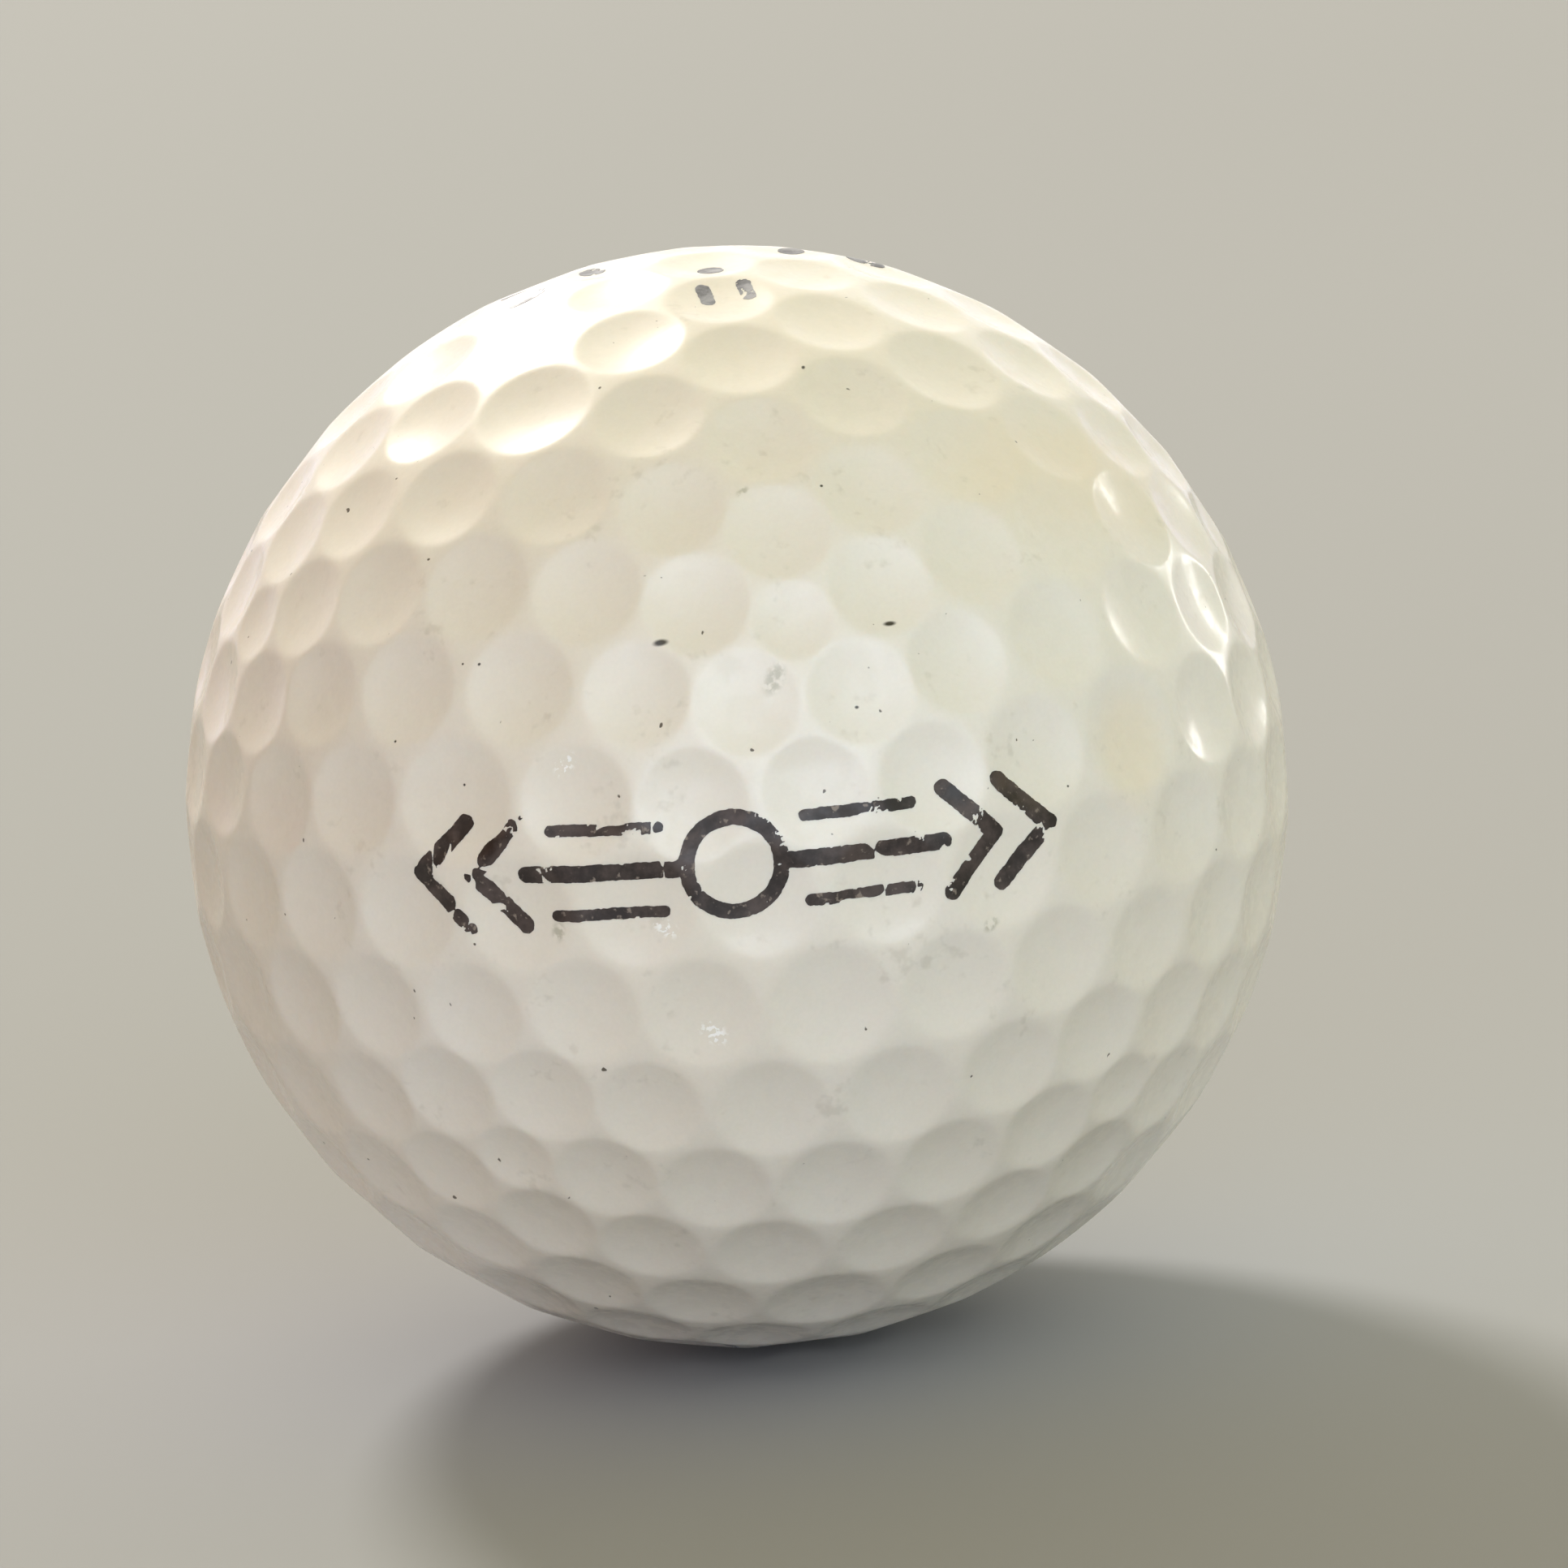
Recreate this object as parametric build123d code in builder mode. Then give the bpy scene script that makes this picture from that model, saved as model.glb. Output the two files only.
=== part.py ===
from build123d import *
from itertools import combinations, product
from math import asin, atan, cos, degrees, radians, sin, sqrt
import os

# A golf ball of three layers: a solid rubber core, a mantle moulded on as two half shells, and a
# dimpled cover moulded on as two half shells. An aiming mark is printed on its side, and a small
# mark at each pole.
# Units are millimetres. The origin is the ball's centre, +Z is the axis through the two poles of
# the cover's mould, and the aiming mark faces -Y.

# Layers
BALL_DIAMETER = 42.67
COVER_THICKNESS = 1.535
MANTLE_THICKNESS = 1.3

# Dimples. Their centres divide each face of an icosahedron into a triangular lattice, with this
# many steps along an edge. The dimples with the same three counts of steps from a face's edges
# are one family, with one diameter.
LATTICE_STEPS = 6
DIMPLE_DIAMETERS = {
    (6, 0, 0): 2.95,
    (5, 1, 0): 3.84,
    (4, 1, 1): 3.84,
    (4, 2, 0): 4.00,
    (3, 3, 0): 4.12,
    (3, 2, 1): 4.08,
    (2, 2, 2): 4.52,
}
DIMPLE_EDGE_ANGLE = 16.0  # between the ball's surface and the dimple's wall, at the rim
PATTERN_TURN = 8.3  # first corner of the upper ring, in degrees from -Y towards +X

# Joint between the cover's halves. It runs round the equator, and goes round each dimple that
# sits on the equator by a six-sided tab, above one dimple and below the next.
TAB_WIDTH = 4.30

# Printed ink
INK_THICKNESS = 0.04
AIM_MARK_HEIGHT = 1.41  # of its centre line above the equator
AIM_RING_RADII = (1.95, 1.40)
AIM_LINE_ENDS = (1.95, 7.40)
AIM_LINE_WIDTH = 0.60
AIM_RAIL_ENDS = (2.60, 6.40)
AIM_RAIL_WIDTH = 0.42
AIM_RAIL_OFFSET = 1.50
ARROW_TIPS = (9.55, 11.50)
ARROW_HEIGHT = 3.90
ARROW_DEPTH = 1.70
ARROW_STROKE = 0.85
POLE_MARK_TURN = 11.0  # first pair of bars, in degrees from -Y towards +X
POLE_BAR_COUNT = 4
POLE_BAR_SIZE = (1.50, 0.55)
POLE_BAR_SPACING = 1.55
POLE_BAR_DISTANCE = 6.60
POLE_DOT_RADIUS = 0.50
POLE_DOT_DISTANCE = 3.90

# Reach of the tools that cut and divide the layers
RIM_OVERLAP = 0.01  # of a dimple's cutter past the rim
TOOL_MARGIN = 2.0

BALL_RADIUS = BALL_DIAMETER / 2
MANTLE_RADIUS = BALL_RADIUS - COVER_THICKNESS
CORE_RADIUS = MANTLE_RADIUS - MANTLE_THICKNESS
TOOL_REACH = BALL_RADIUS + TOOL_MARGIN

RING_STEP = 360 / 5
RING_LATITUDE = degrees(atan(1 / 2))
ICOSAHEDRON_EDGE = 1 / sin(radians(RING_STEP))  # for corners at a distance of 1
TOLERANCE = 1e-4


def direction(turn, latitude):
    """Unit vector at that turn from -Y towards +X, and at that latitude, in degrees."""
    level = cos(radians(latitude))
    return Vector(
        sin(radians(turn)) * level,
        -cos(radians(turn)) * level,
        sin(radians(latitude)),
    )


def icosahedron_faces():
    """The three corners of each of the twenty faces, as unit vectors. Two are at the poles."""
    corners = [Vector(0, 0, 1), Vector(0, 0, -1)]
    for step in range(5):
        turn = PATTERN_TURN + RING_STEP * step
        corners.append(direction(turn, RING_LATITUDE))
        corners.append(direction(turn + RING_STEP / 2, -RING_LATITUDE))
    return [
        face
        for face in combinations(corners, 3)
        if all((a - b).length < ICOSAHEDRON_EDGE + TOLERANCE for a, b in combinations(face, 2))
    ]


def dimple_axes():
    """The outward axis of every dimple, in one list for each family."""
    axes = {family: [] for family in DIMPLE_DIAMETERS}
    for face in icosahedron_faces():
        for steps in product(range(LATTICE_STEPS + 1), repeat=3):
            if sum(steps) != LATTICE_STEPS:
                continue
            family = axes[tuple(sorted(steps, reverse=True))]
            point = face[0] * steps[0] + face[1] * steps[1] + face[2] * steps[2]
            axis = point.normalized()
            if all((axis - other).length > TOLERANCE for other in family):
                family.append(axis)
    return axes


def dimple_cutter(diameter, lining):
    """The air in a dimple on the +Z axis, less an even lining on the dimple's floor."""
    rim_radius = diameter / 2
    slope = radians(DIMPLE_EDGE_ANGLE) - asin(rim_radius / BALL_RADIUS)
    floor_radius = rim_radius / sin(slope)
    centre_height = sqrt(BALL_RADIUS**2 - rim_radius**2) + floor_radius * cos(slope)
    with BuildPart() as cutter:
        with Locations((0, 0, centre_height)):
            # turned so that the sphere's own poles and seam stay clear of the floor
            Sphere(floor_radius - lining, rotation=(0, -90, 0))
        with Locations((0, 0, BALL_RADIUS)):
            Cylinder(rim_radius + RIM_OVERLAP, TOOL_MARGIN, mode=Mode.INTERSECT)
    return cutter.part


def dimpled_ball(lining):
    """A solid ball with all its dimples, grown evenly outwards by the lining."""
    with BuildPart() as ball:
        Sphere(BALL_RADIUS + lining)
        for family, diameter in DIMPLE_DIAMETERS.items():
            cutter = dimple_cutter(diameter, lining)
            with Locations(*[Plane((0, 0, 0), z_dir=axis) for axis in AXES[family]]):
                add(cutter, mode=Mode.SUBTRACT, clean=False)
    return ball.part


def chevron(tip, side):
    """An arrowhead whose tip is that far along X, on that side."""
    shoulder = tip - ARROW_DEPTH
    Polygon(
        (side * tip, 0),
        (side * shoulder, ARROW_HEIGHT / 2),
        (side * (shoulder - ARROW_STROKE), ARROW_HEIGHT / 2),
        (side * (tip - ARROW_STROKE), 0),
        (side * (shoulder - ARROW_STROKE), -ARROW_HEIGHT / 2),
        (side * shoulder, -ARROW_HEIGHT / 2),
        align=None,
    )


def bar(ends, width, side, height):
    """A bar along X between those two distances, on that side, at that height."""
    with Locations((side * sum(ends) / 2, height)):
        Rectangle(ends[1] - ends[0], width)


def write(piece, name):
    """Labels a finished piece and writes its STEP file."""
    piece.label = name
    export_step(piece, f"parts/{name}.step")


os.makedirs("parts", exist_ok=True)
AXES = dimple_axes()

# Core: a solid sphere of rubber
with BuildPart() as core:
    Sphere(CORE_RADIUS)
write(core.part, "core")

# Mantle: two half shells that meet in the XZ plane, a quarter turn from the cover's joint
with BuildPart() as mantle_back:
    Sphere(MANTLE_RADIUS, arc_size3=180, align=None)
    Sphere(CORE_RADIUS, mode=Mode.SUBTRACT)
write(mantle_back.part, "mantle_back")

with BuildPart() as mantle_front:
    Sphere(MANTLE_RADIUS, arc_size3=180, rotation=(0, 0, 180), align=None)
    Sphere(CORE_RADIUS, mode=Mode.SUBTRACT)
write(mantle_front.part, "mantle_front")

# Tab: a six-sided spike round one dimple, whose sides point at the ball's centre
with BuildPart() as tab:
    for reach in (MANTLE_RADIUS - TOOL_MARGIN, TOOL_REACH):
        with BuildSketch(Plane.XY.offset(reach)):
            RegularPolygon(TAB_WIDTH / 2 * reach / BALL_RADIUS, 6, major_radius=False)
    loft()

# Space of the cover's upper half: everything above the equator, with every second dimple on the
# equator added whole and the others left out whole
equator_axes = [axis for family in AXES.values() for axis in family if abs(axis.Z) < TOLERANCE]
equator_axes.sort(key=lambda axis: Vector(0, -1, 0).get_signed_angle(axis, Vector(0, 0, 1)))
with BuildPart() as upper_space:
    Box(
        2 * TOOL_REACH,
        2 * TOOL_REACH,
        TOOL_REACH,
        align=(Align.CENTER, Align.CENTER, Align.MIN),
    )
    for axes, mode in ((equator_axes[0::2], Mode.ADD), (equator_axes[1::2], Mode.SUBTRACT)):
        with Locations(*[Plane((0, 0, 0), x_dir=(0, 0, 1), z_dir=axis) for axis in axes]):
            add(tab.part, mode=mode)

# Cover: the dimpled layer, as two half shells
bare_ball = dimpled_ball(0)

with BuildPart() as cover_upper:
    add(bare_ball)
    Sphere(MANTLE_RADIUS, mode=Mode.SUBTRACT)
    add(upper_space.part, mode=Mode.INTERSECT, clean=False)
write(cover_upper.part, "cover_upper")

with BuildPart() as cover_lower:
    add(bare_ball)
    Sphere(MANTLE_RADIUS, mode=Mode.SUBTRACT)
    add(upper_space.part, mode=Mode.SUBTRACT, clean=False)
write(cover_lower.part, "cover_lower")

# Ink: an even coat over the lands and the dimples, of which each mark keeps what its outline
# covers
with BuildPart() as ink_coat:
    add(dimpled_ball(INK_THICKNESS))
    add(bare_ball, mode=Mode.SUBTRACT, clean=False)

# Aiming mark on the side: a ring between two bars, with a rail above and below each bar and two
# arrowheads beyond it
with BuildPart() as aim_mark:
    with BuildSketch(Plane.XZ.shift_origin((0, 0, AIM_MARK_HEIGHT))):
        Circle(AIM_RING_RADII[0])
        Circle(AIM_RING_RADII[1], mode=Mode.SUBTRACT)
        for side in (-1, 1):
            bar(AIM_LINE_ENDS, AIM_LINE_WIDTH, side, 0)
            bar(AIM_RAIL_ENDS, AIM_RAIL_WIDTH, side, AIM_RAIL_OFFSET)
            bar(AIM_RAIL_ENDS, AIM_RAIL_WIDTH, side, -AIM_RAIL_OFFSET)
            for tip in ARROW_TIPS:
                chevron(tip, side)
    extrude(amount=TOOL_REACH)
    add(ink_coat.part, mode=Mode.INTERSECT, clean=False)
write(aim_mark.part, "aim_mark")

# Mark at each pole: pairs of short radial bars, with a dot inside each pair
for name, reach in (("pole_mark_upper", TOOL_REACH), ("pole_mark_lower", -TOOL_REACH)):
    with BuildPart() as pole_mark:
        with BuildSketch():
            start = POLE_MARK_TURN - 90
            with PolarLocations(POLE_DOT_DISTANCE, POLE_BAR_COUNT, start_angle=start):
                Circle(POLE_DOT_RADIUS)
            with PolarLocations(POLE_BAR_DISTANCE, POLE_BAR_COUNT, start_angle=start):
                with GridLocations(0, POLE_BAR_SPACING, 1, 2):
                    Rectangle(*POLE_BAR_SIZE)
        extrude(amount=reach)
        add(ink_coat.part, mode=Mode.INTERSECT, clean=False)
    write(pole_mark.part, name)
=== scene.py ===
"""A golf ball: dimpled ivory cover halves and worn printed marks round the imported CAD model."""

import itertools
import math

import bpy
import numpy as np
from mathutils import Matrix, Vector, noise


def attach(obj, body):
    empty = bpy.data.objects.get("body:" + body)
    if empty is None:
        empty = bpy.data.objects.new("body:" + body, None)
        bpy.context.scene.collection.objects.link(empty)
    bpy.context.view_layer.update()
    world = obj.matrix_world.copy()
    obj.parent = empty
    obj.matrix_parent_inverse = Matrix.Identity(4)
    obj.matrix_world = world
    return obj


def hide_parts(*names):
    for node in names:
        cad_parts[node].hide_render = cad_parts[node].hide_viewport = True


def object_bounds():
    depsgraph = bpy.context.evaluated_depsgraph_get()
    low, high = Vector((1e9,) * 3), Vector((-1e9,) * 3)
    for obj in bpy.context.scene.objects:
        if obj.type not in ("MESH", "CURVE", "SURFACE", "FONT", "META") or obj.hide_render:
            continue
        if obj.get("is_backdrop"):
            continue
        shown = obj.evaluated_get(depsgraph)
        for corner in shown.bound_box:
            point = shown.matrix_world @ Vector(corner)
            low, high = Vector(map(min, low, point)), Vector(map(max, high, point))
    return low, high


MM = 0.001

# The ball and its layers
BALL_RADIUS = 21.335 * MM
MANTLE_RADIUS = 19.8 * MM

# The dimple pattern: a triangular lattice on each face of an icosahedron. A family is the
# dimples with the same three counts of steps from a face's edges.
LATTICE_STEPS = 6
DIMPLE_DIAMETERS = {
    (6, 0, 0): 2.95 * MM,
    (5, 1, 0): 3.84 * MM,
    (4, 1, 1): 3.84 * MM,
    (4, 2, 0): 4.00 * MM,
    (3, 3, 0): 4.12 * MM,
    (3, 2, 1): 4.08 * MM,
    (2, 2, 2): 4.52 * MM,
}
DIMPLE_EDGE_ANGLE = math.radians(16.0)
PATTERN_TURN = 8.3
RIM_SOFTNESS = 0.024 * MM
RING_STEP = 72.0
RING_LATITUDE = math.degrees(math.atan(0.5))
ICOSAHEDRON_EDGE = 1 / math.sin(math.radians(RING_STEP))
NEIGHBOUR_ANGLE = math.radians(14.0)  # dimples with axes closer than this are neighbours
TOLERANCE = 1e-6  # for comparing unit vectors
TINY_SQUARE = 1e-12  # keeps square roots clear of zero

# The skin's mesh: rings of each dimple as shares of its rim, rings of its land as shares of the
# way from the rim to the cell's edge, and the steps along one edge of a cell
FLOOR_RINGS = (0.30, 0.56, 0.76, 0.88, 0.95, 1.0)
LAND_RINGS = (0.33, 0.67)
EDGE_STEPS = 5
NEAREST_DIMPLES = 4
RAYS_AT_ONCE = 8192
OFF_AXIS = (0.3, 0.5, 0.8)  # a vector that lies along no dimple's axis
PAINT_THICKNESS = 0.03 * MM
SHARP_ANGLE = math.radians(40)

# The printed marks, in the plane that each one is printed along
INK_HEIGHT = 0.014 * MM
INK_DEPTH = 0.006 * MM
INK_GRID = 0.06 * MM
AIM_MARK_HEIGHT = 1.41 * MM
AIM_RING_RADIUS = 1.68 * MM
AIM_RING_WIDTH = 0.55 * MM
AIM_LINE_ENDS = (1.95 * MM, 7.40 * MM)
AIM_LINE_WIDTH = 0.60 * MM
AIM_RAIL_ENDS = (2.60 * MM, 6.40 * MM)
AIM_RAIL_WIDTH = 0.42 * MM
AIM_RAIL_OFFSET = 1.50 * MM
ARROW_TIPS = (9.30 * MM, 11.20 * MM)
ARROW_HEIGHT = 3.70 * MM
ARROW_DEPTH = 1.70 * MM
ARROW_WIDTH = 0.60 * MM
POLE_MARK_TURN = 11.0
POLE_BAR_COUNT = 4
POLE_BAR_SIZE = (1.50 * MM, 0.55 * MM)
POLE_BAR_SPACING = 1.55 * MM
POLE_BAR_DISTANCE = 6.60 * MM
POLE_DOT_RADIUS = 0.50 * MM
POLE_DOT_DISTANCE = 3.90 * MM
AIM_GRID_HALF = (11.9 * MM, 2.35 * MM)
POLE_GRID_HALF = (7.7 * MM, 7.7 * MM)

# How the ink wears: how readily each mark rubs off, and the noises that wear it. A noise is its
# frequency per millimetre and its offset. A weight is the outline that a noise takes away, in
# millimetres for each unit of the noise.
AIM_WEAR = 0.26
POLE_WEAR = 0.50
WORN_RIM_DEPTH = 0.05 * MM  # rims are rubbed down to this depth
EDGE_NOISE = (3.1, (0, 0, 0))
EDGE_WEIGHT = 0.035
GRAIN_NOISE = (9.0, (7, 3, 1))
GRAIN_WEIGHT = 0.025
RUB_NOISE = (1.3, (2, 9, 4))
RUB_WEIGHT = 0.9
RUB_GRAIN = 0.55  # how much the grain adds to the rubbing
RUB_RIM = 0.45  # how much the top of a rim adds to it
SCRATCH_NOISE = (0.8, (5, 1, 8))
SCRATCH_WEIGHT = 4.0
SCRATCH_WIDTH = 0.08  # how far from zero its noise is at a scratch's edges
SCRATCHED_AREA_NOISE = (0.5, (1, 6, 2))
SCRATCHED_AREA_START = 0.14  # scratches lie where the area's noise is above this

# The camera: angles in degrees, lens and sensor in millimetres, clipping in metres
CAMERA_DISTANCE = 9.86 * BALL_RADIUS
CAMERA_AZIMUTH = 0.8
CAMERA_ELEVATION = 10.2
CAMERA_ROLL = 4.84
CAMERA_LENS = 124.2
CAMERA_SENSOR = 36.0
CAMERA_SHIFT = (0.030, 0.008)
CAMERA_CLIP = (0.01, 20.0)

# The studio's light: an even part, and glows of (azimuth, elevation, power, colour)
STUDIO_AMBIENT = (0.21, 0.03, 0.02)
STUDIO_GLOWS = (
    (10, 15, 6.0, (2.71, 3.13, 3.74)),
    (180, 10, 2.0, (1.12, 1.26, 1.38)),
    (0, 90, 1.0, (0.30, 0.34, 0.03)),
    (70, 15, 2.0, (0.02, 0.22, 0.05)),
)
# The lamps: azimuth and elevation in degrees, the far one's width in degrees, the near one's
# distance and size in metres, and the irradiance and the colour that reach the ball
KEY_PLACE = (-158, 41)
KEY_WIDTH = 12
KEY_IRRADIANCE = 2.5
KEY_COLOUR = (1.0, 0.96, 0.90)
STRIP_PLACE = (125, 10)
STRIP_DISTANCE = 0.6
STRIP_SIZE = (0.07, 0.18)
STRIP_IRRADIANCE = 0.24
STRIP_COLOUR = (1.0, 0.98, 0.95)
FLOOR_HALF = 30.0  # half of the floor's side, in metres


# The dimple pattern


def direction(turn, latitude):
    """Unit vector at that turn from -Y towards +X, and at that latitude, in degrees."""
    turn, latitude = math.radians(turn), math.radians(latitude)
    return np.array(
        (
            math.sin(turn) * math.cos(latitude),
            -math.cos(turn) * math.cos(latitude),
            math.sin(latitude),
        )
    )


def icosahedron_faces():
    """The three corners of each of the twenty faces, as unit vectors. Two are at the poles."""
    corners = [np.array((0.0, 0.0, 1.0)), np.array((0.0, 0.0, -1.0))]
    for step in range(5):
        turn = PATTERN_TURN + RING_STEP * step
        corners.append(direction(turn, RING_LATITUDE))
        corners.append(direction(turn + RING_STEP / 2, -RING_LATITUDE))
    return [
        face
        for face in itertools.combinations(corners, 3)
        if all(
            np.linalg.norm(a - b) < ICOSAHEDRON_EDGE + TOLERANCE
            for a, b in itertools.combinations(face, 2)
        )
    ]


def dimple_pattern():
    """The outward axis and the rim radius of every dimple."""
    axes, rim_radii = [], []
    for face in icosahedron_faces():
        for steps in itertools.product(range(LATTICE_STEPS + 1), repeat=3):
            if sum(steps) != LATTICE_STEPS:
                continue
            point = face[0] * steps[0] + face[1] * steps[1] + face[2] * steps[2]
            axis = point / np.linalg.norm(point)
            if all(np.linalg.norm(axis - other) > TOLERANCE for other in axes):
                axes.append(axis)
                rim_radii.append(DIMPLE_DIAMETERS[tuple(sorted(steps, reverse=True))] / 2)
    return np.array(axes), np.array(rim_radii)


AXES, RIM_RADII = dimple_pattern()
RIM_ANGLES = np.arcsin(RIM_RADII / BALL_RADIUS)
FLOOR_SLOPES = DIMPLE_EDGE_ANGLE - RIM_ANGLES
FLOOR_RADII = RIM_RADII / np.sin(FLOOR_SLOPES)
FLOOR_CENTRES = BALL_RADIUS * np.cos(RIM_ANGLES) + FLOOR_RADII * np.cos(FLOOR_SLOPES)


def surface(directions):
    """Points, outward normals and depths of the dimpled surface in those directions.

    Each dimple's floor is a sphere. The floors and the ball's own sphere are joined by a soft
    minimum, which rounds the rims.
    """
    points, normals, depths = [], [], []
    for start in range(0, len(directions), RAYS_AT_ONCE):
        rays = directions[start : start + RAYS_AT_ONCE]
        cosines = rays @ AXES.T
        nearest = np.argpartition(-cosines, NEAREST_DIMPLES, axis=1)[:, :NEAREST_DIMPLES]
        cosine = np.clip(np.take_along_axis(cosines, nearest, axis=1), -1, 1)
        sine = np.sqrt(np.maximum(1 - cosine**2, TINY_SQUARE))
        centre, floor = FLOOR_CENTRES[nearest], FLOOR_RADII[nearest]
        reach = np.sqrt(np.maximum(floor**2 - (centre * sine) ** 2, TINY_SQUARE))
        floor_distance = centre * cosine - reach
        floor_gradient = -centre * sine + centre**2 * sine * cosine / reach
        weight = np.exp((BALL_RADIUS - floor_distance) / RIM_SOFTNESS)
        total = 1 + weight.sum(axis=1)
        distance = BALL_RADIUS - RIM_SOFTNESS * np.log(total)
        away = (cosine[..., None] * rays[:, None] - AXES[nearest]) / sine[..., None]
        gradient = ((weight * floor_gradient / total[:, None])[..., None] * away).sum(axis=1)
        normal = rays - gradient / distance[:, None]
        points.append(rays * distance[:, None])
        normals.append(normal / np.linalg.norm(normal, axis=1)[:, None])
        depths.append(BALL_RADIUS - distance)
    return np.concatenate(points), np.concatenate(normals), np.concatenate(depths)


# The cover's halves. Each dimple has a cell, whose corners are where three cells meet.


def unit(vector):
    return vector / np.linalg.norm(vector)


def cell_neighbours(cell):
    """The dimples round one dimple, anticlockwise as seen from outside."""
    axis = AXES[cell]
    near = [
        other
        for other in np.flatnonzero(AXES @ axis > math.cos(NEIGHBOUR_ANGLE))
        if other != cell
    ]
    across = unit(np.cross(axis, OFF_AXIS))
    along = np.cross(axis, across)
    return sorted(near, key=lambda other: math.atan2(AXES[other] @ along, AXES[other] @ across))


def cell_corner(trio):
    """The direction that is equally far outside the rims of three dimples."""
    first, second, third = (AXES[cell] / math.cos(RIM_ANGLES[cell]) for cell in trio)
    corner = unit(np.cross(second - first, third - first))
    return corner if corner @ AXES[trio[0]] > 0 else -corner


def cell_edges(cell):
    """One (neighbour, corner before, corner after) for each edge of a cell."""
    around = cell_neighbours(cell)
    count = len(around)
    corners = [tuple(sorted((cell, around[k], around[(k + 1) % count]))) for k in range(count)]
    return [(around[k], corners[k - 1], corners[k]) for k in range(count)]


def edge_key(cell, neighbour, before, after, step):
    """A name for a point on a cell's edge that is the same from both of its cells."""
    if step == 0:
        return before
    if step == EDGE_STEPS:
        return after
    low, high = min(cell, neighbour), max(cell, neighbour)
    return (low, high, "edge", step if before < after else EDGE_STEPS - step)


def edge_direction(before, after, step):
    """The direction of a point on a cell's edge, worked out the same way from both cells."""
    if before > after:
        before, after, step = after, before, EDGE_STEPS - step
    share = step / EDGE_STEPS
    return unit(cell_corner(before) * (1 - share) + cell_corner(after) * share)


class Grid:
    """The points of the whole skin as directions, and the faces of each cell."""

    def __init__(self):
        self.directions = []
        self.named = {}
        self.faces = {}
        self.centres = {}
        self.boundaries = {}
        for cell in range(len(AXES)):
            self.add_cell(cell)

    def add(self, ray):
        self.directions.append(ray)
        return len(self.directions) - 1

    def add_once(self, name, ray):
        if name not in self.named:
            self.named[name] = self.add(ray)
        return self.named[name]

    def add_cell(self, cell):
        """One dimple and its share of the land, as rings round its axis."""
        boundary = [
            self.add_once(
                edge_key(cell, neighbour, before, after, step),
                edge_direction(before, after, step),
            )
            for neighbour, before, after in cell_edges(cell)
            for step in range(EDGE_STEPS)
        ]
        axis, rim = AXES[cell], RIM_ANGLES[cell]
        rays = [self.directions[point] for point in boundary]
        spans = [math.acos(axis @ ray) for ray in rays]
        rings = []
        for share, land_share in [(s, 0) for s in FLOOR_RINGS] + [(1, s) for s in LAND_RINGS]:
            angles = [rim * share + (span - rim) * land_share for span in spans]
            rings.append(
                [
                    self.add(
                        (math.sin(span - angle) * axis + math.sin(angle) * ray) / math.sin(span)
                    )
                    for ray, span, angle in zip(rays, spans, angles, strict=True)
                ]
            )
        self.centres[cell] = self.add(axis)
        self.boundaries[cell] = boundary
        self.faces[cell] = fan(self.centres[cell], rings[0])
        for low, high in itertools.pairwise([*rings, boundary]):
            self.faces[cell] += ring(low, high)


def ring(low, high):
    """The quads between two rings of points."""
    count = len(low)
    return [(low[k], high[k], high[(k + 1) % count], low[(k + 1) % count]) for k in range(count)]


def fan(centre, rim):
    """The triangles from one point to a ring."""
    return [(centre, rim[k], rim[(k + 1) % len(rim)]) for k in range(len(rim))]


def open_edges(faces):
    """The directed edges that only one face has."""
    edges = {edge for face in faces for edge in zip(face, face[1:] + face[:1], strict=True)}
    return sorted((a, b) for a, b in edges if (b, a) not in edges)


def new_piece(name, vertices, faces):
    """A mesh object from the vertices that its faces use, with smooth faces."""
    used = sorted({corner for face in faces for corner in face})
    index = {corner: count for count, corner in enumerate(used)}
    mesh = bpy.data.meshes.new(name)
    mesh.from_pydata(vertices[used].tolist(), [], [[index[k] for k in face] for face in faces])
    mesh.validate()
    mesh.polygons.foreach_set("use_smooth", np.ones(len(mesh.polygons), bool))
    piece = bpy.data.objects.new(name, mesh)
    bpy.context.scene.collection.objects.link(piece)
    return piece


def paint_skin(name, grid, points, normals):
    """The paint and gloss coat: one unbroken closed skin over the whole ball."""
    skin = new_piece(name, points, [face for faces in grid.faces.values() for face in faces])
    skin.data.normals_split_custom_set_from_vertices(normals.tolist())
    return skin


def cover_half(name, grid, cells, points, normals):
    """One half of the cover under the paint: dimpled outside, plain inside, closed by its joint."""
    count = len(points)
    outer = [face for cell in cells for face in grid.faces[cell]]
    joint = [(b, a, a + count, b + count) for a, b in open_edges(outer)]
    inner = [
        tuple(corner + count for corner in face[::-1])
        for cell in cells
        for face in fan(grid.centres[cell], grid.boundaries[cell])
    ]
    shell_points = points - normals * PAINT_THICKNESS
    lining_points = np.array(grid.directions) * MANTLE_RADIUS
    half = new_piece(name, np.concatenate([shell_points, lining_points]), outer + joint + inner)
    half.data.set_sharp_from_angle(angle=SHARP_ANGLE)
    return half


def cover_halves():
    """Cells of the upper half and of the lower half. Cells on the equator alternate."""
    equator = [cell for cell in range(len(AXES)) if abs(AXES[cell][2]) < TOLERANCE]
    equator.sort(key=lambda cell: math.atan2(AXES[cell][0], -AXES[cell][1]))
    upper = [cell for cell in range(len(AXES)) if AXES[cell][2] > TOLERANCE] + equator[0::2]
    lower = [cell for cell in range(len(AXES)) if AXES[cell][2] < -TOLERANCE] + equator[1::2]
    return upper, lower


# The printed marks. Each is a thin closed sheet that follows the dimples, cut out of a grid
# where a coverage field is below zero.


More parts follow.
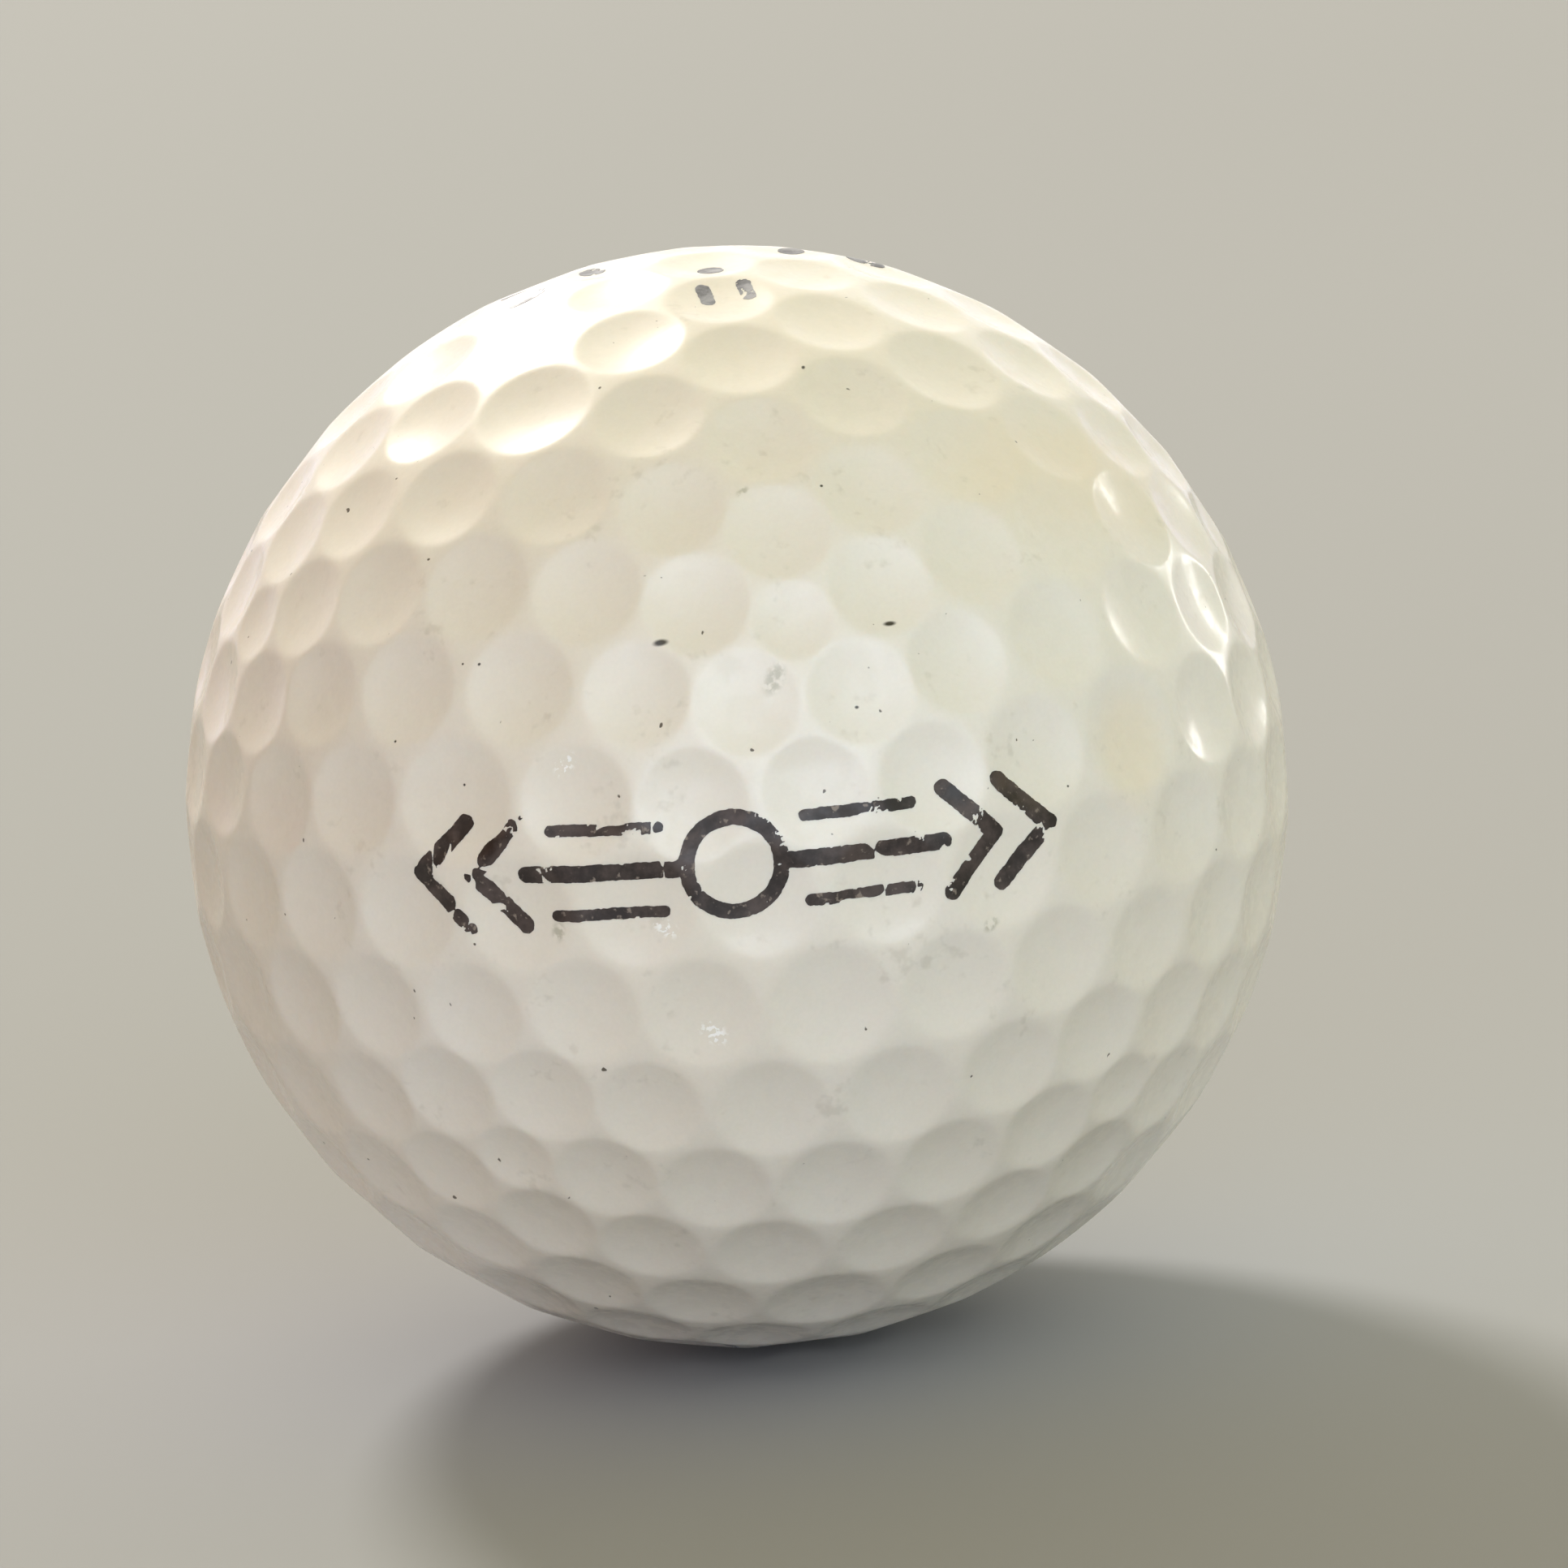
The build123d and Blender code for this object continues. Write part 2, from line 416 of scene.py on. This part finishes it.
def stroke(x, y, start, end, width):
    """How far a point is outside a round-ended stroke; below zero inside it."""
    start, end = np.array(start), np.array(end)
    along = end - start
    share = np.clip(((x - start[0]) * along[0] + (y - start[1]) * along[1]) / (along @ along), 0, 1)
    return np.hypot(x - start[0] - along[0] * share, y - start[1] - along[1] * share) - width / 2


def aim_outline(x, y):
    """Ring, bars, rails and arrowheads of the aiming mark, alike on both sides."""
    x = np.abs(x)
    rings = np.abs(np.hypot(x, y) - AIM_RING_RADIUS) - AIM_RING_WIDTH / 2
    parts = [rings, stroke(x, y, (AIM_LINE_ENDS[0], 0), (AIM_LINE_ENDS[1], 0), AIM_LINE_WIDTH)]
    y = np.abs(y)
    rail = [(end, AIM_RAIL_OFFSET) for end in AIM_RAIL_ENDS]
    parts.append(stroke(x, y, rail[0], rail[1], AIM_RAIL_WIDTH))
    for tip in ARROW_TIPS:
        wing = (tip - ARROW_DEPTH, ARROW_HEIGHT / 2)
        parts.append(stroke(x, y, (tip, 0), wing, ARROW_WIDTH))
    return np.minimum.reduce(parts)


def pole_outline(x, y):
    """Pairs of radial bars, and a dot inside each pair."""
    parts = []
    for count in range(POLE_BAR_COUNT):
        turn = math.radians(POLE_MARK_TURN + 360 / POLE_BAR_COUNT * count)
        out = np.array((math.sin(turn), -math.cos(turn)))
        side = np.array((-out[1], out[0]))
        dot = out * POLE_DOT_DISTANCE
        parts.append(np.hypot(x - dot[0], y - dot[1]) - POLE_DOT_RADIUS)
        half_length = (POLE_BAR_SIZE[0] - POLE_BAR_SIZE[1]) / 2
        for offset in (-POLE_BAR_SPACING / 2, POLE_BAR_SPACING / 2):
            ends = [
                out * (POLE_BAR_DISTANCE + reach) + side * offset
                for reach in (-half_length, half_length)
            ]
            parts.append(stroke(x, y, ends[0], ends[1], POLE_BAR_SIZE[1]))
    return np.minimum.reduce(parts)


def worn(outline, places, depths, wear):
    """The outline with a ragged edge, rubbed patches that are most common on rims, and scratches."""

    def field(frequency, offset):
        return np.array([noise.noise(Vector(p / MM) * frequency + Vector(offset)) for p in places])

    raised = np.clip(1 - depths / WORN_RIM_DEPTH, 0, 1)
    grain = field(*GRAIN_NOISE)
    rubbed = np.maximum(field(*RUB_NOISE) + RUB_GRAIN * grain + RUB_RIM * raised - (1 - wear), 0)
    scratched = np.maximum(SCRATCH_WIDTH - np.abs(field(*SCRATCH_NOISE)), 0)
    scratched = scratched * (field(*SCRATCHED_AREA_NOISE) > SCRATCHED_AREA_START)
    ragged = EDGE_WEIGHT * field(*EDGE_NOISE) + GRAIN_WEIGHT * grain
    return outline + MM * (ragged + RUB_WEIGHT * rubbed + SCRATCH_WEIGHT * scratched)


def clip_triangle(triangle, cover, cross):
    """The part of a triangle where the coverage is below zero, as a list of triangles."""
    inside = [k for k in triangle if cover[k] < 0]
    if len(inside) == 3:
        return [triangle]
    if not inside:
        return []
    apex, left, right = triangle
    while (cover[apex] < 0) != (len(inside) == 1):
        apex, left, right = left, right, apex
    a, b = cross(apex, left), cross(apex, right)
    if len(inside) == 1:
        return [(apex, a, b)]
    return [(a, left, right), (a, right, b)]


def ink_sheet(name, half_size, outline, ray, wear):
    """A worn mark as a closed sheet. ray turns grid places into directions."""
    columns, rows = (int(round(2 * half / INK_GRID)) for half in half_size)
    x, y = np.meshgrid(
        np.linspace(-half_size[0], half_size[0], columns + 1),
        np.linspace(-half_size[1], half_size[1], rows + 1),
    )
    x, y = x.ravel(), y.ravel()
    rays = ray(x, y)
    places, _, depths = surface(rays)
    cover = worn(outline(x, y), places, depths, wear)
    rays = list(rays)
    crossings = {}

    def cross(a, b):
        key = (min(a, b), max(a, b))
        if key not in crossings:
            share = cover[key[0]] / (cover[key[0]] - cover[key[1]])
            crossings[key] = len(rays)
            rays.append(unit(rays[key[0]] * (1 - share) + rays[key[1]] * share))
        return crossings[key]

    triangles = []
    for row, column in itertools.product(range(rows), range(columns)):
        a = row * (columns + 1) + column
        b, c, d = a + 1, a + columns + 2, a + columns + 1
        if min(cover[a], cover[b], cover[c], cover[d]) < 0:
            triangles += clip_triangle((a, b, c), cover, cross)
            triangles += clip_triangle((a, c, d), cover, cross)
    points, normals, _ = surface(np.array(rays))
    count = len(points)
    walls = [(b, a, a + count, b + count) for a, b in open_edges(triangles)]
    bottom = [tuple(corner + count for corner in triangle[::-1]) for triangle in triangles]
    vertices = np.concatenate([points + normals * INK_HEIGHT, points - normals * INK_DEPTH])
    sheet = new_piece(name, vertices, triangles + walls + bottom)
    sheet.data.set_sharp_from_angle(angle=SHARP_ANGLE)
    return sheet


def side_ray(x, y):
    """Direction of a point of the side mark, printed along Y onto the front of the ball."""
    z = y + AIM_MARK_HEIGHT
    return np.stack([x, -np.sqrt(BALL_RADIUS**2 - x**2 - z**2), z], axis=1) / BALL_RADIUS


def pole_ray(side):
    """Directions of the points of a pole mark, printed along Z onto that side of the ball."""

    def ray(x, y):
        z = side * np.sqrt(BALL_RADIUS**2 - x**2 - y**2)
        return np.stack([x * side, y, z], axis=1) / BALL_RADIUS

    return ray


# Materials


def feed(tree, socket, value):
    """Link another node's output to a socket, or set the socket to a constant."""
    if isinstance(value, bpy.types.NodeSocket):
        tree.links.new(value, socket)
    else:
        socket.default_value = value


def add_maths(tree, operation, first, second):
    """The output of a new maths node."""
    made = tree.nodes.new("ShaderNodeMath")
    made.operation = operation
    feed(tree, made.inputs[0], first)
    feed(tree, made.inputs[1], second)
    return made.outputs["Value"]


def add_vector_maths(tree, operation, first, second=None):
    """The output of a new vector maths node, which has a socket of its own for a scale."""
    made = tree.nodes.new("ShaderNodeVectorMath")
    made.operation = operation
    feed(tree, made.inputs[0], first)
    if second is not None:
        feed(tree, made.inputs["Scale" if operation == "SCALE" else 1], second)
    return next(socket for socket in made.outputs if socket.enabled)


class Material:
    """A node material with a Principled shader, and short ways to add its nodes."""

    def __init__(self, name):
        self.material = bpy.data.materials.new(name)
        self.material.use_nodes = True
        self.tree = self.material.node_tree
        self.shader = self.tree.nodes["Principled BSDF"]
        self.place = self.node("ShaderNodeTexCoord").outputs["Object"]

    def node(self, kind, **settings):
        made = self.tree.nodes.new(kind)
        for key, value in settings.items():
            setattr(made, key, value)
        return made

    def link(self, source, target):
        self.tree.links.new(source, target)

    def set(self, **values):
        for key, value in values.items():
            self.shader.inputs[key.replace("_", " ")].default_value = value

    def noise(self, scale, detail=2.0, roughness=0.5, distortion=0.0):
        """A noise from 0 to 1, with that many bumps to the metre."""
        made = self.node("ShaderNodeTexNoise")
        self.link(self.place, made.inputs["Vector"])
        made.inputs["Scale"].default_value = scale
        made.inputs["Detail"].default_value = detail
        made.inputs["Roughness"].default_value = roughness
        made.inputs["Distortion"].default_value = distortion
        return made.outputs["Fac"]

    def between(self, source, low, high, to_low=0.0, to_high=1.0):
        """A smooth step from to_low, where the source is low, to to_high, where it is high."""
        made = self.node("ShaderNodeMapRange", interpolation_type="SMOOTHSTEP")
        self.link(source, made.inputs["Value"])
        for key, value in (
            ("From Min", low),
            ("From Max", high),
            ("To Min", to_low),
            ("To Max", to_high),
        ):
            made.inputs[key].default_value = value
        return made.outputs["Result"]

    def maths(self, operation, first, second):
        return add_maths(self.tree, operation, first, second)

    def vectors(self, operation, first, second=None):
        return add_vector_maths(self.tree, operation, first, second)

    def mix(self, share, base, top):
        """The base colour, with that share of the top colour over it."""
        made = self.node("ShaderNodeMix", data_type="RGBA")
        for key, value in (("Factor", share), ("A", base), ("B", top)):
            socket = next(s for s in made.inputs if s.name == key and s.enabled)
            feed(self.tree, socket, (*value, 1.0) if isinstance(value, tuple) else value)
        return next(s for s in made.outputs if s.enabled)

    def bump(self, height, distance, strength=1.0):
        made = self.node("ShaderNodeBump")
        made.inputs["Distance"].default_value = distance
        made.inputs["Strength"].default_value = strength
        self.link(height, made.inputs["Height"])
        self.link(made.outputs["Normal"], self.shader.inputs["Normal"])

    def near(self, turn, latitude, reach, stretch, tilt):
        """1 near a spot on the ball, and 0 beyond its reach, stretched along its tilt."""
        centre = Vector(surface(direction(turn, latitude)[None])[0][0])
        outward = centre.normalized()
        east = Vector((0, 0, 1)).cross(outward).normalized()
        north = outward.cross(east)
        tilt = math.radians(tilt)
        along = east * math.cos(tilt) + north * math.sin(tilt)
        offset = self.vectors("SUBTRACT", self.place, centre)
        slide = self.vectors("DOT_PRODUCT", offset, along)
        back = self.vectors("SCALE", along * (1 / stretch - 1), slide)
        distance = self.vectors("LENGTH", self.vectors("ADD", offset, back))
        return self.between(distance, BLEMISH_CORE * reach * MM, reach * MM, 1.0, 0.0)


# Colours, roughnesses and reliefs. A pair is the two ends that a noise swings between.
PAINT_YELLOWED = (0.800, 0.752, 0.670)
PAINT_WHITE = (0.820, 0.787, 0.730)
MOTTLE_COLOUR = (0.74, 0.68, 0.56)
GRAIN_COLOUR = (0.45, 0.42, 0.38)
STAIN_COLOUR = (0.84, 0.69, 0.46)
GRIME_COLOUR = (0.48, 0.44, 0.37)
SMUDGE_COLOUR = (0.38, 0.37, 0.28)
DUST_COLOUR = (0.12, 0.10, 0.08)
SPECK_COLOUR = (0.04, 0.035, 0.03)
# the white of the painted glints: a painted highlight, not a colour of the paint
PAINTED_GLINT_COLOUR = (0.96, 0.95, 0.92)
PAINT_ROUGHNESS = (0.29, 0.43)
COAT_WEIGHT = (0.25, 0.65)
PAINT_RELIEF = 0.025 * MM

AIM_INK_COLOURS = ((0.020, 0.014, 0.013), (0.075, 0.055, 0.050))
AIM_INK_FADED = (0.22, 0.18, 0.15)
POLE_INK_COLOURS = ((0.10, 0.10, 0.12), (0.30, 0.30, 0.33))
INK_ROUGHNESS = (0.34, 0.55)
INK_RELIEF = 0.008 * MM

MANTLE_COLOURS = ((0.80, 0.80, 0.76), (0.88, 0.88, 0.85))
MANTLE_ROUGHNESS = (0.38, 0.50)
MANTLE_RELIEF = 0.01 * MM
CORE_COLOURS = ((0.24, 0.30, 0.15), (0.34, 0.40, 0.24))
CORE_ROUGHNESS = (0.62, 0.80)
CORE_RELIEF = 0.03 * MM
FLOOR_COLOUR = (0.325, 0.33, 0.34)

# Blemishes of the cover, and painted glints (painted highlights): (turn, latitude, reach, stretch,
# tilt). The reach is in millimetres, the stretch is a ratio, and the others are in degrees.
BLEMISH_CORE = 0.35  # the share of its reach that a blemish covers fully
STAIN_STRENGTH = 0.26
SMUDGE_STRENGTH = 0.6
DARK_SPECKS = (
    (18.6, 25.1, 0.13, 2.4, 0),
    (-5.8, 25.4, 0.17, 2.2, 8),
    (-25.8, 24.0, 0.07, 1.2, 40),
    (-27.7, 24.0, 0.06, 1.0, 0),
    (-35.1, 16.4, 0.07, 1.0, 0),
    (-27.0, 12.4, 0.07, 1.0, 0),
    (13.6, 17.5, 0.08, 1.3, 0),
    (18.7, 55.6, 0.09, 1.5, 60),
    (34.7, 6.8, 0.06, 1.0, 0),
    (14.8, 40.3, 0.07, 1.3, 20),
)
SMUDGES = (
    (5.6, 21.0, 0.45, 1.8, 60),
    (4.7, 40.5, 0.22, 1.6, 40),
    (-17.5, -1.8, 0.35, 1.4, 80),
    (24.7, -5.0, 0.30, 1.6, 30),
)
# Painted highlights: white flecks painted where small glints shine on the front of the ball
PAINTED_GLINTS = (
    (-16.0, 14.3, 0.45, 1.5, 60),
    (-7.0, -1.9, 0.40, 1.6, -30),
    (-3.4, -12.8, 0.50, 1.5, -40),
)
STAINS = (
    (53.0, 37.0, 3.6, 2.6, -15),
    (44.0, 9.0, 2.4, 1.3, 70),
)


def cover_material():
    """Aged white paint under a gloss coat: yellowed, scuffed, stained, specked, with painted glints.
    """
    m = Material("ivory_gloss_paint")
    yellowing = m.between(m.noise(48.0, detail=1.0), 0.30, 0.70)
    colour = m.mix(yellowing, PAINT_YELLOWED, PAINT_WHITE)
    mottle = m.between(m.noise(230.0), 0.20, 0.90, 0.0, 0.25)
    colour = m.mix(mottle, colour, MOTTLE_COLOUR)
    grain = m.between(m.noise(7000.0), 0.20, 0.80, 0.0, 0.06)
    colour = m.mix(grain, colour, GRAIN_COLOUR)
    for stain in STAINS:
        share = m.maths("MULTIPLY", m.near(*stain), STAIN_STRENGTH)
        colour = m.mix(share, colour, STAIN_COLOUR)
    grime = m.maths("MULTIPLY", m.noise(420.0), m.noise(1900.0))
    colour = m.mix(m.between(grime, 0.34, 0.50, 0.0, 0.30), colour, GRIME_COLOUR)
    for smudge in SMUDGES:
        share = m.maths("MULTIPLY", m.near(*smudge), SMUDGE_STRENGTH)
        share = m.maths("MULTIPLY", share, m.between(m.noise(3500.0), 0.40, 0.60))
        colour = m.mix(share, colour, SMUDGE_COLOUR)
    dust = m.between(m.noise(2600.0, detail=1.0), 0.795, 0.83)
    colour = m.mix(dust, colour, DUST_COLOUR)
    for speck in DARK_SPECKS:
        colour = m.mix(m.near(*speck), colour, SPECK_COLOUR)
    # painted highlights: white flecks painted where small glints shine
    for glint_spot in PAINTED_GLINTS:
        share = m.maths("MULTIPLY", m.near(*glint_spot), m.between(m.noise(5200.0), 0.52, 0.58))
        colour = m.mix(share, colour, PAINTED_GLINT_COLOUR)
    m.link(colour, m.shader.inputs["Base Color"])
    gloss = m.between(m.noise(260.0), 0.20, 0.80, *PAINT_ROUGHNESS)
    m.link(gloss, m.shader.inputs["Roughness"])
    polish = m.between(m.noise(1100.0, detail=3.0, roughness=0.6), 0.40, 0.60, *COAT_WEIGHT)
    m.link(polish, m.shader.inputs["Coat Weight"])
    m.set(
        IOR=1.5,
        Subsurface_Weight=0.25,
        Subsurface_Radius=(1.0, 0.62, 0.40),
        Subsurface_Scale=0.30 * MM,
        Coat_Roughness=0.13,
        Coat_IOR=1.5,
    )
    ripple = m.maths("MULTIPLY", m.noise(850.0, detail=3.0, roughness=0.55), 0.35)
    height = m.maths("ADD", ripple, m.maths("MULTIPLY", m.noise(6500.0), 0.02))
    m.bump(height, PAINT_RELIEF)
    return m.material


def ink_finish(m, colour):
    """The uneven gloss and the fine grain of both inks."""
    m.link(colour, m.shader.inputs["Base Color"])
    m.link(m.between(m.noise(1600.0), 0.3, 0.7, *INK_ROUGHNESS), m.shader.inputs["Roughness"])
    m.bump(m.noise(5200.0), INK_RELIEF, 0.5)
    return m.material


def ink_material():
    """Black ink of the aiming mark, faded in small patches."""
    m = Material("worn_print_ink")
    patchy = m.between(m.noise(900.0, detail=4.0, roughness=0.65), 0.35, 0.70)
    colour = m.mix(patchy, *AIM_INK_COLOURS)
    faded = m.between(m.noise(3800.0, detail=3.0), 0.60, 0.72)
    return ink_finish(m, m.mix(faded, colour, AIM_INK_FADED))


def pole_ink_material():
    """Greyed ink of the pole marks."""
    m = Material("faded_pole_ink")
    patchy = m.between(m.noise(1100.0, detail=4.0, roughness=0.65), 0.35, 0.65)
    return ink_finish(m, m.mix(patchy, *POLE_INK_COLOURS))


def mantle_material():
    """Milky ionomer with faint flow marks."""
    m = Material("mantle_ionomer")
    flow = m.between(m.noise(120.0, detail=3.0, distortion=1.2), 0.3, 0.7)
    m.link(m.mix(flow, *MANTLE_COLOURS), m.shader.inputs["Base Color"])
    m.link(m.between(flow, 0, 1, *MANTLE_ROUGHNESS), m.shader.inputs["Roughness"])
    m.bump(m.noise(1500.0), MANTLE_RELIEF, 0.3)
    return m.material


def core_material():
    """Matt green rubber with a crumbly grain."""
    m = Material("core_rubber")
    crumb = m.between(m.noise(1300.0, detail=5.0, roughness=0.7), 0.35, 0.70)
    m.link(m.mix(crumb, *CORE_COLOURS), m.shader.inputs["Base Color"])
    m.link(m.between(crumb, 0, 1, *CORE_ROUGHNESS), m.shader.inputs["Roughness"])
    m.bump(m.noise(2600.0, detail=4.0), CORE_RELIEF, 0.5)
    return m.material


def floor_material():
    m = Material("pale_floor")
    m.set(Base_Color=(*FLOOR_COLOUR, 1.0), Roughness=0.9)
    return m.material


def put_material(piece, material):
    piece.data.materials.clear()
    piece.data.materials.append(material)


# The stage


def floor(height):
    """A plain pale floor under the ball."""
    mesh = bpy.data.meshes.new("floor")
    corners = [
        (x * FLOOR_HALF, y * FLOOR_HALF, height) for x, y in ((-1, -1), (1, -1), (1, 1), (-1, 1))
    ]
    mesh.from_pydata(corners, [], [(0, 1, 2, 3)])
    made = bpy.data.objects.new("floor", mesh)
    bpy.context.scene.collection.objects.link(made)
    put_material(made, floor_material())
    made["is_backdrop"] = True


def sun(name, place, spread, irradiance, colour):
    """A far soft light. Azimuth 0 is in front, at -Y, and 90 is at +X; spread is its width."""
    data = bpy.data.lights.new(name, "SUN")
    data.angle = math.radians(spread)
    data.energy = irradiance
    data.color = colour
    lamp = bpy.data.objects.new(name, data)
    lamp.rotation_mode = "QUATERNION"
    lamp.rotation_quaternion = Vector(direction(*place)).to_track_quat("Z", "Y")
    bpy.context.scene.collection.objects.link(lamp)


def strip_lamp(name, place, distance, size, irradiance, colour):
    """A tall narrow lamp facing the ball, which leaves thin upright glints beside the rims."""
    data = bpy.data.lights.new(name, "AREA")
    data.shape = "RECTANGLE"
    data.size, data.size_y = size
    data.energy = math.pi * irradiance * distance**2
    data.color = colour
    lamp = bpy.data.objects.new(name, data)
    outward = Vector(direction(*place))
    lamp.location = outward * distance
    lamp.rotation_mode = "QUATERNION"
    lamp.rotation_quaternion = outward.to_track_quat("Z", "Y")
    lamp.visible_camera = False
    bpy.context.scene.collection.objects.link(lamp)


def glow(tree, view, azimuth, elevation, power, colour):
    """The light of one glow, which falls off as a power of the cosine from its middle."""
    facing = add_vector_maths(tree, "DOT_PRODUCT", view, direction(azimuth, elevation))
    strength = add_maths(tree, "POWER", add_maths(tree, "MAXIMUM", facing, 0.0), power)
    return add_vector_maths(tree, "SCALE", colour, strength)


def studio():
    """A dim even studio, with wide soft glows in front of the ball, behind, above and beside it."""
    world = bpy.data.worlds.new("soft_studio")
    world.use_nodes = True
    tree = world.node_tree
    view = tree.nodes.new("ShaderNodeTexCoord").outputs["Generated"]
    light = STUDIO_AMBIENT
    for settings in STUDIO_GLOWS:
        light = add_vector_maths(tree, "ADD", glow(tree, view, *settings), light)
    feed(tree, tree.nodes["Background"].inputs["Color"], light)
    bpy.context.scene.world = world


def camera():
    """The camera in front of the ball, a little above it and rolled."""
    data = bpy.data.cameras.new("camera")
    data.sensor_width = CAMERA_SENSOR
    data.lens = CAMERA_LENS
    data.shift_x, data.shift_y = CAMERA_SHIFT
    data.clip_start, data.clip_end = CAMERA_CLIP
    made = bpy.data.objects.new("camera", data)
    out = Vector(direction(CAMERA_AZIMUTH, CAMERA_ELEVATION))
    roll = Matrix.Rotation(math.radians(CAMERA_ROLL), 3, "Z")
    made.rotation_mode = "QUATERNION"
    made.rotation_quaternion = (
        out.to_track_quat("Z", "Y").to_matrix() @ roll.inverted()
    ).to_quaternion()
    made.location = out * CAMERA_DISTANCE
    bpy.context.scene.collection.objects.link(made)
    bpy.context.scene.camera = made


# The scene


def put_mark(mark, node, material):
    """A printed mark in place of its CAD node."""
    put_material(mark, material)
    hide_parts(node)
    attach(mark, "root")


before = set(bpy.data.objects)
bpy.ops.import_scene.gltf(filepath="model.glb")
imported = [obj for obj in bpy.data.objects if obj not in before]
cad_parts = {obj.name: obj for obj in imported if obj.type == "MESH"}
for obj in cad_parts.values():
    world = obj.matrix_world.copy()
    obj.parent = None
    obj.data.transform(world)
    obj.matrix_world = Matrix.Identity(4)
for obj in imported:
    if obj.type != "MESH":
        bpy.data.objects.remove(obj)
cad_box = [list(corner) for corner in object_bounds()]

grid = Grid()
points, normals, _ = surface(np.array(grid.directions))
paint = cover_material()
skin = paint_skin("paint_skin", grid, points, normals)
put_material(skin, paint)
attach(skin, "root")
for node, cells in zip(("cover_upper", "cover_lower"), cover_halves(), strict=True):
    half = cover_half(node + "_shell", grid, cells, points, normals)
    put_material(half, paint)
    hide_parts(node)
    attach(half, "root")

aim_print = ink_sheet("aim_print", AIM_GRID_HALF, aim_outline, side_ray, AIM_WEAR)
put_mark(aim_print, "aim_mark", ink_material())
pole_ink = pole_ink_material()
for place, side in (("upper", 1), ("lower", -1)):
    name = "pole_print_" + place
    pole_print = ink_sheet(name, POLE_GRID_HALF, pole_outline, pole_ray(side), POLE_WEAR)
    put_mark(pole_print, "pole_mark_" + place, pole_ink)

mantle = mantle_material()
for node in ("mantle_front", "mantle_back"):
    put_material(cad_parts[node], mantle)
put_material(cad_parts["core"], core_material())

floor(cad_box[0][2])
studio()
sun("key_behind", KEY_PLACE, KEY_WIDTH, KEY_IRRADIANCE, KEY_COLOUR)
strip_lamp("strip_right", STRIP_PLACE, STRIP_DISTANCE, STRIP_SIZE, STRIP_IRRADIANCE, STRIP_COLOUR)
camera()
bpy.context.scene.view_settings.view_transform = "Standard"
